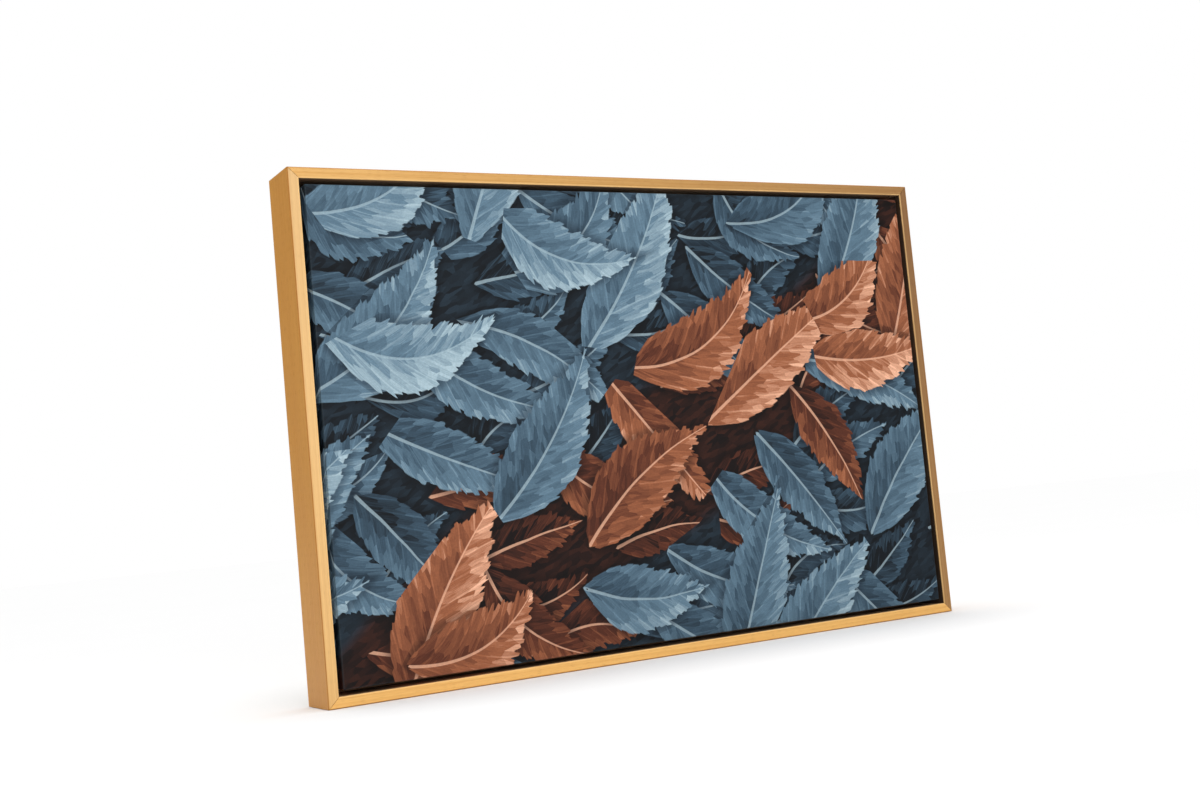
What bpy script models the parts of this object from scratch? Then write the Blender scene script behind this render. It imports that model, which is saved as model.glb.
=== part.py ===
"""Printed canvas on a stretcher, held in a floater frame that stands on its bottom rail.

Metres, +Z up. X runs along the picture's width, the picture faces -Y and the wall side is +Y.
The origin is the bottom centre of the whole object's box.
Neighbouring pieces keep CONTACT_GAP between them.
"""

import math

import bmesh
import bpy

# Printed canvas
CANVAS_WIDTH = 0.610
CANVAS_HEIGHT = 0.406
CANVAS_THICKNESS = 0.0008
CANVAS_EDGE_RADIUS = 0.0012
TURNOVER_WIDTH = 0.032

# Floater moulding, an L in section: an upright wall with a ledge behind the canvas
FACE_WIDTH = 0.009
FLOAT_GAP = 0.0045
FRAME_DEPTH = 0.052
LEDGE_THICKNESS = 0.012
LEDGE_REACH = 0.032
PICTURE_RECESS = 0.0015
FRONT_EDGE_RADIUS = 0.0009
BACK_EDGE_RADIUS = 0.0006

# Stretcher bars, with a raised lip that keeps the cloth off the rest of the bar
BAR_WIDTH = 0.038
LIP_WIDTH = 0.006
LIP_SLOPE_WIDTH = 0.004
LIP_HEIGHT = 0.003
INNER_DROP = 0.005
BAR_EDGE_RADIUS = 0.0008

# Countersunk screws through the ledge into the bars
SCREW_HEAD_RADIUS = 0.0035
SCREW_HEAD_HEIGHT = 0.0023
SCREW_SHANK_RADIUS = 0.0016
SCREW_LENGTH = 0.028
SCREW_TIP_LENGTH = 0.004
SCREW_TIP_RADIUS = 0.0003
SCREW_SINK = 0.0004
SCREW_INSET = 0.024
LONG_RAIL_SCREWS = (-0.200, 0.0, 0.200)
SHORT_RAIL_SCREWS = (-0.100, 0.100)
SCREW_SIDES = 16

# Sawtooth hanger on the top rail and its two nails
HANGER_LENGTH = 0.045
HANGER_HEIGHT = 0.009
HANGER_THICKNESS = 0.0008
HANGER_INSET = 0.0115
HANGER_BRIDGE_HALF = 0.014
HANGER_BEND_LENGTH = 0.003
HANGER_RAISE = 0.0014
TOOTH_PITCH = 0.002
TOOTH_DEPTH = 0.0013
TOOTH_COUNT = 12
NAIL_SPREAD = 0.0195
NAIL_HEAD_RADIUS = 0.0019
NAIL_HEAD_HEIGHT = 0.0007
NAIL_SHANK_RADIUS = 0.0007
NAIL_LENGTH = 0.010
NAIL_SIDES = 12

# Round bumpers on the bottom rail's back
BUMPER_RADIUS = 0.005
BUMPER_HEIGHT = 0.003
BUMPER_EDGE = 0.0009
BUMPER_INSET = 0.016
BUMPER_SIDES = 24

CONTACT_GAP = 0.0003
ARC_SEGMENTS = 3
CUTTER_OVERRUN = 0.001

MARGIN = FACE_WIDTH + FLOAT_GAP
FRAME_WIDTH = CANVAS_WIDTH + 2 * MARGIN
FRAME_HEIGHT = CANVAS_HEIGHT + 2 * MARGIN
FRONT_Y = -(FRAME_DEPTH + BUMPER_HEIGHT) / 2
BACK_Y = FRONT_Y + FRAME_DEPTH
LEDGE_Y = BACK_Y - LEDGE_THICKNESS
CANVAS_FRONT_Y = FRONT_Y + PICTURE_RECESS
CANVAS_BACK_Y = LEDGE_Y - CONTACT_GAP
CLOTH_AND_GAP = CANVAS_THICKNESS + CONTACT_GAP
BAR_FRONT_Y = CANVAS_FRONT_Y + CLOTH_AND_GAP
BAR_DEPTH = CANVAS_BACK_Y - CLOTH_AND_GAP - BAR_FRONT_Y
BAR_MARGIN = MARGIN + CLOTH_AND_GAP

SIDES = ("bottom", "top", "left", "right")


def clear_scene():
    for old in list(bpy.data.objects):
        bpy.data.objects.remove(old)


def make_material(name, colour, roughness, metallic=0.0):
    material = bpy.data.materials.new(name)
    material.use_nodes = True
    shader = material.node_tree.nodes["Principled BSDF"]
    shader.inputs["Base Color"].default_value = (*colour, 1.0)
    shader.inputs["Roughness"].default_value = roughness
    shader.inputs["Metallic"].default_value = metallic
    return material


def add_object(name, shape, material):
    """Turns a bmesh into a named object with outward faces and smooth round parts."""
    bmesh.ops.recalc_face_normals(shape, faces=shape.faces)
    mesh = bpy.data.meshes.new(name)
    shape.to_mesh(mesh)
    shape.free()
    mesh.materials.append(material)
    mesh.shade_smooth()
    mesh.set_sharp_from_angle(angle=math.radians(35))
    made = bpy.data.objects.new(name, mesh)
    bpy.context.collection.objects.link(made)
    return made


def add_cutter(name, shape):
    cutter = add_object(name, shape, bpy.data.materials[0])
    cutter.hide_render = True
    cutter.display_type = "WIRE"
    return cutter


def cut(target, cutter):
    modifier = target.modifiers.new("cut_" + cutter.name, "BOOLEAN")
    modifier.operation = "DIFFERENCE"
    modifier.object = cutter


def rounded_section(corners):
    """Section outline from corners (inward, depth, radius), each rounded with a few points."""
    outline = []
    count = len(corners)
    for i, (across, depth, radius) in enumerate(corners):
        if radius == 0:
            outline.append((across, depth))
            continue
        before, after = corners[i - 1], corners[(i + 1) % count]
        legs = []
        for other in (before, after):
            run, rise = other[0] - across, other[1] - depth
            length = math.hypot(run, rise)
            legs.append((run / length, rise / length))
        for step in range(ARC_SEGMENTS + 1):
            turn = step / ARC_SEGMENTS * math.pi / 2
            toward_before = radius * (1 - math.sin(turn))
            toward_after = radius * (1 - math.cos(turn))
            outline.append(
                (
                    across + legs[0][0] * toward_before + legs[1][0] * toward_after,
                    depth + legs[0][1] * toward_before + legs[1][1] * toward_after,
                )
            )
    return outline


def bridge(shape, first, second):
    """Quads between two closed loops of the same number of points."""
    count = len(first)
    for i in range(count):
        j = (i + 1) % count
        shape.faces.new((first[i], first[j], second[j], second[i]))


def on_side(side, inward, along, depth):
    """A point at a distance inward from the frame's outer face, placed along that side from its middle."""
    if side == "bottom":
        return (along, depth, inward)
    if side == "top":
        return (along, depth, FRAME_HEIGHT - inward)
    if side == "left":
        return (-FRAME_WIDTH / 2 + inward, depth, FRAME_HEIGHT / 2 + along)
    return (FRAME_WIDTH / 2 - inward, depth, FRAME_HEIGHT / 2 + along)


def side_length(side):
    return FRAME_WIDTH if side in ("bottom", "top") else FRAME_HEIGHT


def mitred_bar(name, side, margin, front, section, material):
    """A straight bar of the given section, cut at 45 degrees where it meets its neighbours."""
    shape = bmesh.new()
    trim = CONTACT_GAP / 2 * math.sqrt(2)
    ends = []
    for end in (-1, 1):
        loop = []
        for across, depth in section:
            inward = margin + across
            along = end * (side_length(side) / 2 - inward - trim)
            loop.append(shape.verts.new(on_side(side, inward, along, front + depth)))
        ends.append(loop)
    bridge(shape, *ends)
    for loop in ends:
        shape.faces.new(loop)
    return add_object(name, shape, material)


def turned(shape, profile, sides, place, towards):
    """Adds a turned solid: profile is (radius, distance), its axis along Y from place, +1 or -1."""
    loops = []
    for radius, distance in profile:
        loop = []
        for i in range(sides):
            angle = 2 * math.pi * i / sides
            x = place[0] + radius * math.cos(angle)
            z = place[2] + radius * math.sin(angle)
            loop.append(shape.verts.new((x, place[1] + towards * distance, z)))
        loops.append(loop)
    for first, second in zip(loops, loops[1:]):
        bridge(shape, first, second)
    shape.faces.new(loops[0])
    shape.faces.new(loops[-1])


def screw_places():
    """Name and head centre of every screw, at the height of the frame's back face."""
    places = {}
    for side in SIDES:
        spread = LONG_RAIL_SCREWS if side in ("bottom", "top") else SHORT_RAIL_SCREWS
        for number, along in enumerate(spread, start=1):
            places[f"ledge_screw_{side}_{number}"] = on_side(side, SCREW_INSET, along, BACK_Y)
    return places


def nail_places():
    """Name and place of both hanger nails on the top rail's back face."""
    z = FRAME_HEIGHT - HANGER_INSET
    return {
        "hanger_nail_left": (-NAIL_SPREAD, BACK_Y, z),
        "hanger_nail_right": (NAIL_SPREAD, BACK_Y, z),
    }


def make_screw_holes():
    """Countersunk holes, one gap wider than the screws that go in them."""
    shape = bmesh.new()
    head = SCREW_HEAD_RADIUS + CONTACT_GAP
    shank = SCREW_SHANK_RADIUS + CONTACT_GAP
    profile = [
        (head, -CUTTER_OVERRUN),
        (head, SCREW_SINK),
        (shank, SCREW_SINK + SCREW_HEAD_HEIGHT),
        (shank, SCREW_SINK + SCREW_LENGTH + CONTACT_GAP),
    ]
    for place in screw_places().values():
        turned(shape, profile, SCREW_SIDES, place, -1)
    return add_cutter("screw_holes", shape)


def make_nail_holes():
    shape = bmesh.new()
    radius = NAIL_SHANK_RADIUS + CONTACT_GAP
    profile = [(radius, -BUMPER_HEIGHT), (radius, NAIL_LENGTH)]
    for place in nail_places().values():
        turned(shape, profile, NAIL_SIDES, place, -1)
    return add_cutter("nail_holes", shape)


def make_frame(material, screw_holes, nail_holes):
    """Four mitred lengths of the L moulding."""
    front, back = FRONT_EDGE_RADIUS, BACK_EDGE_RADIUS
    ledge = FRAME_DEPTH - LEDGE_THICKNESS
    section = rounded_section(
        [
            (0.0, 0.0, front),
            (FACE_WIDTH, 0.0, front),
            (FACE_WIDTH, ledge, 0.0),
            (LEDGE_REACH, ledge, back),
            (LEDGE_REACH, FRAME_DEPTH, back),
            (0.0, FRAME_DEPTH, back),
        ]
    )
    for side in SIDES:
        rail = mitred_bar(f"frame_rail_{side}", side, 0.0, FRONT_Y, section, material)
        cut(rail, screw_holes)
        if side == "top":
            cut(rail, nail_holes)


def make_stretcher(material, screw_holes):
    """Four mitred bars inside the canvas, with the raised lip at their outer front edge."""
    section = rounded_section(
        [
            (0.0, 0.0, BAR_EDGE_RADIUS),
            (LIP_WIDTH, 0.0, 0.0),
            (LIP_WIDTH + LIP_SLOPE_WIDTH, LIP_HEIGHT, 0.0),
            (BAR_WIDTH, INNER_DROP, BAR_EDGE_RADIUS),
            (BAR_WIDTH, BAR_DEPTH, BAR_EDGE_RADIUS),
            (0.0, BAR_DEPTH, BAR_EDGE_RADIUS),
        ]
    )
    for side in SIDES:
        bar = mitred_bar(f"stretcher_bar_{side}", side, BAR_MARGIN, BAR_FRONT_Y, section, material)
        cut(bar, screw_holes)


def make_canvas(material, screw_holes):
    """One cloth: the picture, its four wrapped edges and the turnover behind the bars."""
    shape = bmesh.new()

    def rectangle(margin, depth):
        x, low, high = FRAME_WIDTH / 2 - margin, margin, FRAME_HEIGHT - margin
        corners = ((-x, low), (x, low), (x, high), (-x, high))
        return [shape.verts.new((px, depth, pz)) for px, pz in corners]

    loops = []
    for step in range(ARC_SEGMENTS + 1):
        turn = step / ARC_SEGMENTS * math.pi / 2
        inset = CANVAS_EDGE_RADIUS * (1 - math.sin(turn))
        drop = CANVAS_EDGE_RADIUS * (1 - math.cos(turn))
        loops.append(rectangle(MARGIN + inset, CANVAS_FRONT_Y + drop))
    window = MARGIN + TURNOVER_WIDTH
    cavity = MARGIN + CANVAS_THICKNESS
    loops.append(rectangle(MARGIN, CANVAS_BACK_Y))
    loops.append(rectangle(window, CANVAS_BACK_Y))
    loops.append(rectangle(window, CANVAS_BACK_Y - CANVAS_THICKNESS))
    loops.append(rectangle(cavity, CANVAS_BACK_Y - CANVAS_THICKNESS))
    loops.append(rectangle(cavity, CANVAS_FRONT_Y + CANVAS_THICKNESS))
    for first, second in zip(loops, loops[1:]):
        bridge(shape, first, second)
    shape.faces.new(loops[0])
    shape.faces.new(loops[-1])
    canvas = add_object("canvas", shape, material)
    cut(canvas, screw_holes)


def make_screws(material):
    profile = [
        (SCREW_HEAD_RADIUS, 0.0),
        (SCREW_SHANK_RADIUS, SCREW_HEAD_HEIGHT),
        (SCREW_SHANK_RADIUS, SCREW_LENGTH - SCREW_TIP_LENGTH),
        (SCREW_TIP_RADIUS, SCREW_LENGTH),
    ]
    for name, (x, y, z) in screw_places().items():
        shape = bmesh.new()
        turned(shape, profile, SCREW_SIDES, (0.0, 0.0, 0.0), -1)
        screw = add_object(name, shape, material)
        screw.location = (x, y - SCREW_SINK, z)


def make_hanger(material, nail_holes):
    """A steel strip nailed at both ends, raised in the middle, with teeth along its lower edge."""
    half = HANGER_LENGTH / 2
    foot = HANGER_BRIDGE_HALF + HANGER_BEND_LENGTH
    tooth_start = -TOOTH_PITCH * TOOTH_COUNT / 2
    stations = [(-half, 0.0, 0.0), (-foot, 0.0, 0.0), (-HANGER_BRIDGE_HALF, HANGER_RAISE, 0.0)]
    for i in range(2 * TOOTH_COUNT + 1):
        notch = TOOTH_DEPTH if i % 2 else 0.0
        stations.append((tooth_start + i * TOOTH_PITCH / 2, HANGER_RAISE, notch))
    stations += [(HANGER_BRIDGE_HALF, HANGER_RAISE, 0.0), (foot, 0.0, 0.0), (half, 0.0, 0.0)]
    shape = bmesh.new()
    middle = FRAME_HEIGHT - HANGER_INSET
    low, high = middle - HANGER_HEIGHT / 2, middle + HANGER_HEIGHT / 2
    loops = []
    for x, raise_by, notch in stations:
        near = BACK_Y + CONTACT_GAP + raise_by
        far = near + HANGER_THICKNESS
        corners = ((near, low + notch), (near, high), (far, high), (far, low + notch))
        loops.append([shape.verts.new((x, y, z)) for y, z in corners])
    for first, second in zip(loops, loops[1:]):
        bridge(shape, first, second)
    shape.faces.new(loops[0])
    shape.faces.new(loops[-1])
    hanger = add_object("sawtooth_hanger", shape, material)
    cut(hanger, nail_holes)


def make_nails(material):
    under_head = CONTACT_GAP + HANGER_THICKNESS + CONTACT_GAP
    profile = [
        (NAIL_HEAD_RADIUS, -under_head - NAIL_HEAD_HEIGHT),
        (NAIL_HEAD_RADIUS, -under_head),
        (NAIL_SHANK_RADIUS, -under_head),
        (NAIL_SHANK_RADIUS, NAIL_LENGTH - CONTACT_GAP),
    ]
    for name, place in nail_places().items():
        shape = bmesh.new()
        turned(shape, profile, NAIL_SIDES, (0.0, 0.0, 0.0), -1)
        nail = add_object(name, shape, material)
        nail.location = place


def make_bumpers(material):
    profile = [
        (BUMPER_RADIUS, CONTACT_GAP),
        (BUMPER_RADIUS, BUMPER_HEIGHT - BUMPER_EDGE),
        (BUMPER_RADIUS - BUMPER_EDGE / 3, BUMPER_HEIGHT - BUMPER_EDGE / 3),
        (BUMPER_RADIUS - BUMPER_EDGE, BUMPER_HEIGHT),
    ]
    for name, end in (("bumper_left", -1), ("bumper_right", 1)):
        shape = bmesh.new()
        turned(shape, profile, BUMPER_SIDES, (0.0, 0.0, 0.0), 1)
        bumper = add_object(name, shape, material)
        bumper.location = (end * (FRAME_WIDTH / 2 - BUMPER_INSET), BACK_Y, BUMPER_INSET)


def main():
    clear_scene()
    gold_wood = make_material("gold_stained_wood", (0.66, 0.41, 0.15), 0.42)
    pine = make_material("planed_pine", (0.72, 0.53, 0.32), 0.65)
    cloth = make_material("printed_canvas", (0.16, 0.22, 0.28), 0.8)
    zinc = make_material("zinc_plated_steel", (0.62, 0.62, 0.6), 0.35, 1.0)
    rubber = make_material("black_rubber", (0.03, 0.03, 0.03), 0.7)
    screw_holes = make_screw_holes()
    nail_holes = make_nail_holes()
    make_frame(gold_wood, screw_holes, nail_holes)
    make_stretcher(pine, screw_holes)
    make_canvas(cloth, screw_holes)
    make_screws(zinc)
    make_hanger(zinc, nail_holes)
    make_nails(zinc)
    make_bumpers(rubber)


main()
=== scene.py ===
"""Framed canvas picture: stained floater moulding, pine stretcher, printed cloth and its fixings.

Metres, +Z up, in the packed part's own frame: X runs along the picture's width, the picture faces -Y
and the wall side is +Y. The file is laid out as an add-on and is run as a script.
"""

import math
from typing import NamedTuple

import bmesh
import bpy
from bpy.props import FloatProperty, FloatVectorProperty, IntProperty, PointerProperty
from mathutils import Euler, Matrix, Vector


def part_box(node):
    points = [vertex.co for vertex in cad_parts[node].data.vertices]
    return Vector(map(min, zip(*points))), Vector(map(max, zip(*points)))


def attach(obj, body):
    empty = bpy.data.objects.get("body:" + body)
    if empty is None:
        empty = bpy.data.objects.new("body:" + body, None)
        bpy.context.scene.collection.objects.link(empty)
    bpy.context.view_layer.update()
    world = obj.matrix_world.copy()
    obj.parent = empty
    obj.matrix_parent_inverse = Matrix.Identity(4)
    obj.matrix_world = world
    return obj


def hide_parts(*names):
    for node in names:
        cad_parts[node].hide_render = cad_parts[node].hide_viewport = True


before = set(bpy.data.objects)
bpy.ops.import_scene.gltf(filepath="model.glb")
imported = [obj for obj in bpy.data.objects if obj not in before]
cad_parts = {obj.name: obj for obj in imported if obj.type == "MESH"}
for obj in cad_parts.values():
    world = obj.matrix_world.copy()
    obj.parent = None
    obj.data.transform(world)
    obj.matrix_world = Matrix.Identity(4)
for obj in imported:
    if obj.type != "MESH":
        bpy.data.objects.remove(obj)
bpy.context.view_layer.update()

bl_info = {
    "name": "Framed canvas picture",
    "version": (1, 0, 0),
    "blender": (4, 5, 0),
    "location": "3D View > Sidebar > Framed canvas",
    "description": "Finishes a floater frame and its stretched print, and sets a studio round them",
    "category": "Object",
}

BODY = "root"
SIDES = ("bottom", "top", "left", "right")
UPRIGHT_SIDES = ("left", "right")
CORNERS = ((-1, -1), (1, -1), (1, 1), (-1, 1))

# What the packed part says about itself
RAIL_LOW, RAIL_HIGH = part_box("frame_rail_left")
CANVAS_LOW, CANVAS_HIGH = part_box("canvas")
FRONT_Y = RAIL_LOW.y
BACK_Y = RAIL_HIGH.y
HALF_WIDTH = -RAIL_LOW.x
MIDDLE_Z = (RAIL_LOW.z + RAIL_HIGH.z) / 2
HALF_HEIGHT = (RAIL_HIGH.z - RAIL_LOW.z) / 2
CANVAS_HALF_WIDTH = CANVAS_HIGH.x
CANVAS_HALF_HEIGHT = (CANVAS_HIGH.z - CANVAS_LOW.z) / 2
CANVAS_DEPTH = CANVAS_HIGH.y - CANVAS_LOW.y

# Moulding sizes that a box does not tell
FACE_WIDTH = 0.009
LEDGE_Y = CANVAS_HIGH.y + 0.0003


def srgb(red, green, blue):
    """Linear colour from display values of 0 to 255."""
    def linear(value):
        part = value / 255
        if part <= 0.04045:
            return part / 12.92
        return ((part + 0.055) / 1.055) ** 2.4

    return (linear(red), linear(green), linear(blue))


# Settings

def colour(name, description, default):
    return FloatVectorProperty(
        name=name, description=description, default=default, subtype="COLOR", size=3, min=0.0, max=1.0
    )


def amount(name, description, default, **kind):
    return FloatProperty(name=name, description=description, default=default, min=0.0, **kind)


def length(name, description, default):
    return amount(name, description, default, unit="LENGTH", precision=5)


def share(name, description, default):
    return amount(name, description, default, max=1.0, subtype="FACTOR")


def angle(name, description, degrees):
    return FloatProperty(name=name, description=description, default=math.radians(degrees), subtype="ANGLE")


def whole(name, description, default):
    return IntProperty(name=name, description=description, default=default, min=0)


class WoodSettings(bpy.types.PropertyGroup):
    """Finish of the moulding and of the stretcher bars."""

    honey_light: colour("Honey light", "Early wood under the gold stain", srgb(243, 191, 112))
    honey_dark: colour("Honey dark", "Late wood under the gold stain", srgb(223, 163, 82))
    honey_pore: colour("Honey pore", "Stain gathered in the open pores", srgb(158, 100, 46))
    # Painted shade and painted light on the rails' fronts
    honey_painted_shade: colour("Honey deep", "Tint of wood that took more stain", (0.30, 0.27, 0.36))
    honey_painted_light: colour("Honey faint", "Wood that took little stain", srgb(206, 174, 128))
    # Painted shade on the moulding's outer sides
    honey_side_painted_shade: colour("Honey side", "Tint of the moulding's outer sides", (0.80, 0.64, 0.31))
    # Partly wear and partly a painted highlight along the face's inner edge
    honey_wear_and_highlight: colour("Honey worn", "Wood rubbed pale along the face's inner edge", srgb(246, 204, 138))
    gap_paint: colour("Gap paint", "Dull brown paint inside the float gap", srgb(98, 75, 55))
    gap_dark: colour("Gap dark", "The same paint where it is brushed on thicker", srgb(50, 38, 28))
    raw_light: colour("Raw light", "Bare wood on the moulding's back", srgb(226, 196, 150))
    raw_dark: colour("Raw dark", "Grain in the bare wood", srgb(196, 158, 108))
    pine_light: colour("Pine light", "Early wood of the bars", srgb(233, 208, 160))
    pine_dark: colour("Pine dark", "Late wood of the bars", srgb(204, 164, 108))
    pine_knot: colour("Pine knot", "Knots in the bars", srgb(122, 74, 40))
    pine_grime: colour("Pine grime", "Handling marks on the bars", srgb(150, 126, 96))
    ring_pitch: length("Ring pitch", "Distance from one growth ring to the next", 0.0026)
    fibre_width: length("Fibre width", "Width of a wood fibre streak", 0.0009)
    planer_pitch: length("Planer pitch", "Distance between the planer's marks on the bars", 0.0021)
    satin: share("Satin", "Roughness of the moulding's lacquer", 0.45)


class ClothSettings(bpy.types.PropertyGroup):
    """How the canvas is cut and stretched."""

    thickness: length("Thickness", "Cloth thickness", 0.0005)
    front_radius: length("Front radius", "Rounding where the cloth turns over the front edge", 0.0013)
    back_radius: length("Back radius", "Rounding where the cloth turns over the back edge", 0.0009)
    corner_radius: length("Corner radius", "Rounding of the picture's corners", 0.0014)
    turnover: length("Turnover", "Cloth folded over the bars' backs", 0.032)
    fold_room: length("Fold room", "Depth kept behind the turnover for the folded corners", 0.0004)
    yarn_pitch: length("Yarn pitch", "Distance from one yarn to the next", 0.0009)
    bleed: length("Bleed", "How far the print runs past the bars' back edge", 0.007)
    raw: colour("Raw cotton", "Unprinted side of the cloth", srgb(226, 219, 203))
    # Painted shade in the hollows between the yarns
    raw_painted_shade: colour("Raw shade", "Hollows between the yarns", srgb(196, 186, 164))
    raw_dull: colour("Raw dull", "Duller patches of the raw cloth", srgb(206, 194, 170))
    husk: colour("Husk", "Seed husks left in the cotton", srgb(132, 106, 74))
    primer: colour("Primer", "White ground beyond the print", srgb(238, 236, 230))
    # Painted shade in the hollows of a thread's twist
    thread_painted_shade: colour("Thread shade", "Hollows in a frayed thread's twist", srgb(206, 196, 174))
    thread_count: whole("Loose threads", "Frayed threads on each side", 34)
    thread_length: length("Thread length", "Length of a frayed thread of middle size", 0.0055)
    thread_radius: length("Thread radius", "Half a thread's thickness", 0.00014)
    thread_seed: whole("Thread seed", "Chooses the threads' turns and sizes", 3)


class PrintSettings(bpy.types.PropertyGroup):
    """Colours and brush of the printed foliage."""

    night: colour("Night slate", "Darkest blue", srgb(12, 18, 24))
    slate: colour("Slate", "Main blue", srgb(54, 75, 91))
    steel: colour("Steel", "Middle blue", srgb(92, 119, 137))
    mist: colour("Mist", "Lightest blue", srgb(160, 182, 192))
    ember: colour("Ember", "Darkest brown", srgb(18, 10, 10))
    rust: colour("Rust", "Main brown", srgb(90, 47, 32))
    copper: colour("Copper", "Middle brown", srgb(152, 92, 62))
    peach: colour("Peach", "Lightest warm colour", srgb(240, 184, 152))
    stroke_width: length("Stroke width", "Width of one brush stroke", 0.0034)
    stroke_length: length("Stroke length", "Length of one brush stroke", 0.0130)


class FixingSettings(bpy.types.PropertyGroup):
    """Screws, staples, corner nails, hanger nails and bumpers."""

    screw_steel: colour("Screw steel", "Yellowish zinc of the screws", srgb(214, 206, 186))
    staple_steel: colour("Staple steel", "Bright wire of the staples", srgb(206, 204, 198))
    corner_steel: colour("Corner nail steel", "Grey steel of the corner nails", srgb(172, 172, 170))
    hanger_steel: colour("Hanger steel", "Brassy plating of the hanger", srgb(218, 200, 150))
    nail_steel: colour("Hanger nail steel", "Brassy plating of the hanger's nails", srgb(214, 196, 148))
    rubber: colour("Rubber", "Dark rubber of the bumpers", srgb(38, 37, 36))
    rubber_dust: colour("Rubber dust", "Dust in the bumpers' skin", srgb(88, 84, 78))
    head_height: length("Head height", "Height of a screw's countersunk head", 0.0023)
    shank_radius: length("Shank radius", "Radius of a screw's shank", 0.0016)
    recess_length: length("Recess length", "Length of the cross cut in a screw's head", 0.0040)
    recess_width: length("Recess width", "Width of the cross cut in a screw's head", 0.0009)
    recess_depth: length("Recess depth", "Depth of the cross cut in a screw's head", 0.0013)
    thread_pitch: length("Thread pitch", "Rise of the screw's thread in one turn", 0.0018)
    staple_spacing: length("Staple spacing", "Distance from one staple to the next", 0.042)
    staple_crown: length("Staple crown", "Width of a staple", 0.0098)
    staple_leg: length("Staple leg", "Depth of a staple's legs", 0.008)
    staple_wire: length("Staple wire", "Wire radius of a staple", 0.00035)
    nail_leg: length("Corner nail leg", "Leg of a V-shaped corner nail", 0.0042)
    nail_sheet: length("Corner nail sheet", "Thickness of a corner nail's steel", 0.0006)
    nail_depth: length("Corner nail depth", "How deep a corner nail is pressed in", 0.007)
    seed: whole("Seed", "Chooses the small turns of staples and screws", 7)


class StudioSettings(bpy.types.PropertyGroup):
    """Floor, lights and camera."""

    floor: colour("Floor", "Plain pale floor", (0.825, 0.825, 0.825))
    floor_radius: length("Floor radius", "Radius of the round floor", 14.0)
    surround: amount("Surround", "Light from all round", 0.27)
    overhead: amount("Overhead", "Soft light from straight above", 2.95)
    key_power: amount("Key power", "Front light", 8.4, unit="POWER")
    key_size: length("Key size", "Width of the round front light", 1.0)
    lens: amount("Lens", "Focal length on a 36 mm sensor, in mm", 46.03)
    heading: angle("Heading", "Turn of the view to the right", 32.421)
    pitch: angle("Pitch", "Tilt of the view upwards", 4.685)
    roll: angle("Roll", "Roll of the camera to the right", 5.694)
    camera_place: FloatVectorProperty(
        name="Camera place", description="Where the camera stands",
        default=(-0.6899, -1.2268, 0.1307), size=3, subtype="TRANSLATION", unit="LENGTH"
    )
    lens_shift: FloatVectorProperty(
        name="Lens shift", description="Sideways and upward shift, as shares of the picture's width",
        default=(-0.1000, -0.0198), size=2
    )


# Node trees

def arithmetic(operation, reflected=False):
    """A Value method that adds one Math node."""
    def method(self, other):
        first, second = (other, self) if reflected else (self, other)
        return self.graph.math(operation, first, second)

    return method


class Value:
    """A number in a node tree. Arithmetic on it adds Math nodes."""

    def __init__(self, graph, socket):
        self.graph = graph
        self.socket = socket

    __add__ = arithmetic("ADD")
    __radd__ = arithmetic("ADD", reflected=True)
    __sub__ = arithmetic("SUBTRACT")
    __rsub__ = arithmetic("SUBTRACT", reflected=True)
    __mul__ = arithmetic("MULTIPLY")
    __rmul__ = arithmetic("MULTIPLY", reflected=True)
    __truediv__ = arithmetic("DIVIDE")
    __rtruediv__ = arithmetic("DIVIDE", reflected=True)
    __pow__ = arithmetic("POWER")
    __gt__ = arithmetic("GREATER_THAN")
    __lt__ = arithmetic("LESS_THAN")

    def __abs__(self):
        return self.graph.math("ABSOLUTE", self)

    def clamp(self):
        """Kept from 0 to 1."""
        return self.graph.math("ADD", self, use_clamp=True)


class Graph:
    """Adds nodes to one tree."""

    def __init__(self, tree):
        self.tree = tree

    def feed(self, socket, given):
        """Links a socket to a value, a socket or a node's first output, or sets it to plain numbers."""
        if isinstance(given, Value):
            given = given.socket
        if isinstance(given, bpy.types.Node):
            given = given.outputs[0]
        if isinstance(given, bpy.types.NodeSocket):
            self.tree.links.new(given, socket)
        elif socket.type == "RGBA" and len(given) == 3:
            socket.default_value = (*given, 1.0)
        else:
            socket.default_value = given

    def node(self, kind, inputs=None, **settings):
        """Adds a node: its settings first, then its sockets, each by its name or identifier."""
        made = self.tree.nodes.new(kind)
        for name, setting in settings.items():
            if name == "stops":
                self.set_stops(made.color_ramp, setting)
            else:
                setattr(made, name, setting)
        for name, given in (inputs or {}).items():
            socket = next(s for s in made.inputs if name in (s.identifier, s.name))
            self.feed(socket, given)
        return made

    def set_stops(self, ramp, stops):
        while len(ramp.elements) > 1:
            ramp.elements.remove(ramp.elements[-1])
        for number, (position, tint) in enumerate(stops):
            element = ramp.elements[0] if number == 0 else ramp.elements.new(position)
            element.position = position
            element.color = (*tint, 1.0)

    def value(self, made, output=0):
        return Value(self, made.outputs[output])

    def math(self, operation, first, second=0.0, use_clamp=False):
        inputs = {"Value": first, "Value_001": second}
        return self.value(self.node("ShaderNodeMath", inputs, operation=operation, use_clamp=use_clamp))

    def vector(self, x, y, z=0.0):
        return self.node("ShaderNodeCombineXYZ", {"X": x, "Y": y, "Z": z})

    def parts(self, vector):
        made = self.node("ShaderNodeSeparateXYZ", {"Vector": vector})
        return [self.value(made, number) for number in range(3)]

    def vector_math(self, operation, first, second):
        inputs = {"Vector": first, "Vector_001": second}
        return self.node("ShaderNodeVectorMath", inputs, operation=operation)


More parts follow.
